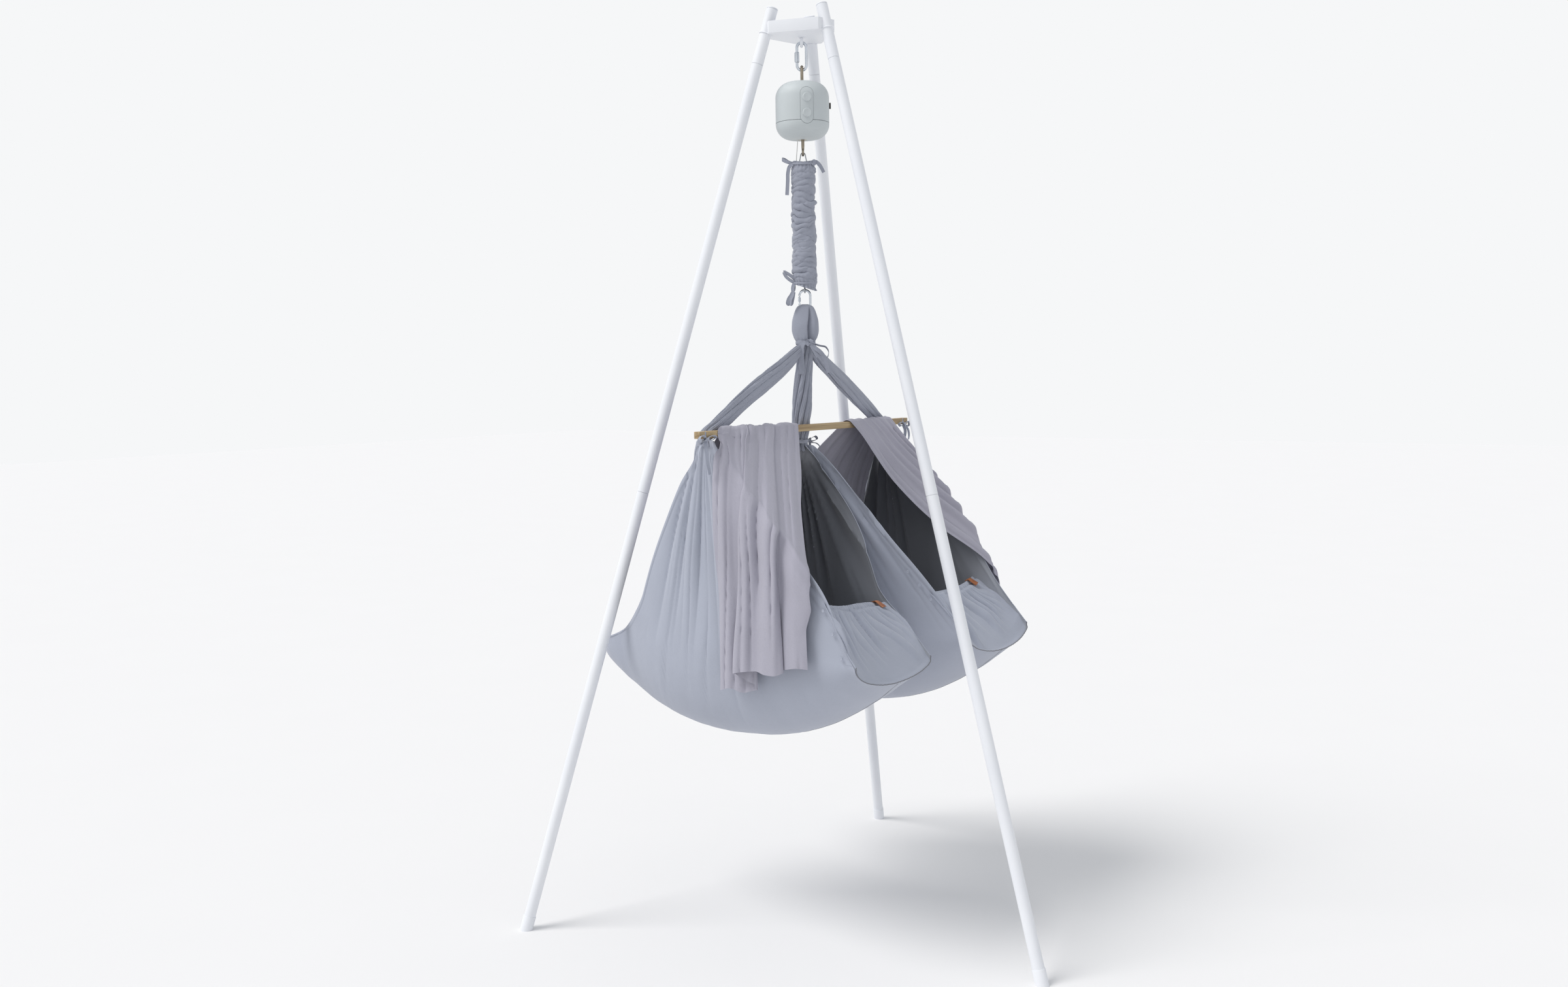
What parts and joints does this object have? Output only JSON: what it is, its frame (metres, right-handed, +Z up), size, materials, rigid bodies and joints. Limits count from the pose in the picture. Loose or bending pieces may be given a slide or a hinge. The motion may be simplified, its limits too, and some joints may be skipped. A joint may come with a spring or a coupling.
{
  "type": "hanging twin baby cradle",
  "caption": "Two fabric baby cradles side by side under a wooden bar, hung by a sling and covered spring from a bobbing motor unit on a white three-leg stand.",
  "frame": {"origin": "centre of the floor rectangle that the three feet stand in, on the floor", "axes": "+Z up; +X from the head end to the foot end of the cradles; Y along the wooden bar, the near cradle at -Y and the far one at +Y"},
  "size_m": [1.0893, 1.1278, 1.9932],
  "materials": {
    "coated_tube": "white powder coat",
    "coated_plate": "white powder coat",
    "bright_steel": "zinc plated, bright",
    "spring_steel": "drawn wire",
    "bronzed_rod": "satin bronze",
    "motor_shell": "fine moulded grain",
    "dark_plastic": "plain",
    "circuit_board": "solder mask",
    "pale_cord": "braided",
    "sling_cotton": "woven cotton, gathered",
    "cradle_cotton": "woven cotton",
    "mattress_cotton": "quilted cotton",
    "canopy_muslin": "crinkled muslin",
    "bar_wood": "oiled oak",
    "tan_leather": "vegetable tanned"
  },
  "bodies": {
    "stand": {"top_bracket": "coated_plate", "hanger_eye": "coated_plate", "left_leg_stub": "coated_tube", "left_leg_upper_tube": "coated_tube", "left_leg_lower_tube": "coated_tube", "left_tip_cap": "coated_tube", "left_foot_cap": "coated_tube", "right_leg_stub": "coated_tube", "right_leg_upper_tube": "coated_tube", "right_leg_lower_tube": "coated_tube", "right_tip_cap": "coated_tube", "right_foot_cap": "coated_tube", "back_leg_stub": "coated_tube", "back_leg_upper_tube": "coated_tube", "back_leg_lower_tube": "coated_tube", "back_tip_cap": "coated_tube", "back_foot_cap": "coated_tube"},
    "quick_link": {"quick_link": "bright_steel"},
    "link_sleeve": {"quick_link_sleeve": "bright_steel"},
    "motor_unit": {"motor_hanger": "bronzed_rod", "motor_upper_shell": "motor_shell", "motor_lower_shell": "motor_shell", "control_panel": "motor_shell", "control_board": "circuit_board", "side_tab": "dark_plastic", "motor_chassis": "spring_steel", "gear_motor": "dark_plastic", "lifting_strap": "pale_cord", "safety_cord": "pale_cord"},
    "upper_button": {"upper_button": "motor_shell"},
    "lower_button": {"lower_button": "motor_shell"},
    "drum": {"lift_drum": "spring_steel"},
    "lift": {"lift_rod": "bronzed_rod", "spring_shackle": "spring_steel", "spring": "spring_steel", "spring_cover": "sling_cotton", "upper_drawstring": "sling_cotton"},
    "carabiner": {"spring_hook": "spring_steel", "carabiner": "bright_steel", "lower_drawstring": "sling_cotton"},
    "carabiner_gate": {"carabiner_gate": "bright_steel"},
    "cradles": {"sling_loop": "sling_cotton", "neck_tie": "sling_cotton", "centre_bundle": "sling_cotton", "near_strap": "sling_cotton", "far_strap": "sling_cotton", "centre_tie": "sling_cotton", "spreader_bar": "bar_wood", "near_bar_tie": "sling_cotton", "far_bar_tie": "sling_cotton", "near_cradle_body": "cradle_cotton", "near_mattress": "mattress_cotton", "near_foot_pocket": "cradle_cotton", "near_pocket_tag": "tan_leather", "near_canopy": "canopy_muslin", "far_cradle_body": "cradle_cotton", "far_mattress": "mattress_cotton", "far_foot_pocket": "cradle_cotton", "far_pocket_tag": "tan_leather", "far_canopy": "canopy_muslin"}
  },
  "joints": [
    {"name": "link_swing", "type": "hinge", "parent": "stand", "child": "quick_link", "pos_m": [-0.10425, -0.0628, 1.919], "axis": [0.8181, 0.575, 0], "range_deg": [-0.7, 0.5]},
    {"name": "sleeve_travel", "type": "slide", "parent": "quick_link", "child": "link_sleeve", "axis": [0, 0, 1], "range_m": [0, 0.0095]},
    {"name": "motor_swing", "type": "hinge", "parent": "quick_link", "child": "motor_unit", "pos_m": [-0.10425, -0.0628, 1.8673], "axis": [0.575, -0.8181, 0], "range_deg": [-0.4, 1.5]},
    {"name": "upper_button_press", "type": "slide", "parent": "motor_unit", "child": "upper_button", "axis": [-0.7071, 0.7071, 0], "range_m": [0, 0.0015], "stiffness_N_per_m": 400},
    {"name": "lower_button_press", "type": "slide", "parent": "motor_unit", "child": "lower_button", "axis": [-0.7071, 0.7071, 0], "range_m": [0, 0.0015], "stiffness_N_per_m": 400},
    {"name": "lift_travel", "type": "slide", "parent": "motor_unit", "child": "lift", "axis": [0, 0, 1], "range_m": [0, 0.018], "deforming": ["lifting_strap", "safety_cord"]},
    {"name": "drum_turn", "type": "hinge", "parent": "motor_unit", "child": "drum", "pos_m": [-0.10425, -0.0628, 1.777], "axis": [0.8181, 0.575, 0], "range_deg": [-82, 0]},
    {"name": "bounce", "type": "slide", "parent": "lift", "child": "carabiner", "axis": [0, 0, -1], "range_m": [0, 0.12], "stiffness_N_per_m": 500, "springref_m": -0.13, "deforming": ["spring", "spring_cover"]},
    {"name": "gate_opening", "type": "hinge", "parent": "carabiner", "child": "carabiner_gate", "pos_m": [-0.11407, -0.0697, 1.3568], "axis": [-0.575, 0.8181, 0], "range_deg": [0, 25], "stiffness_Nm_per_rad": 0.02},
    {"name": "cradle_turn", "type": "hinge", "parent": "carabiner", "child": "cradles", "pos_m": [-0.10425, -0.0628, 1.353], "axis": [0, 0, 1], "range_deg": [-1.5, 1.5], "stiffness_Nm_per_rad": 2}
  ],
  "couplings": [
    {"joint": "drum_turn", "follows": "lift_travel", "rad_per_m": -78.431}
  ]
}
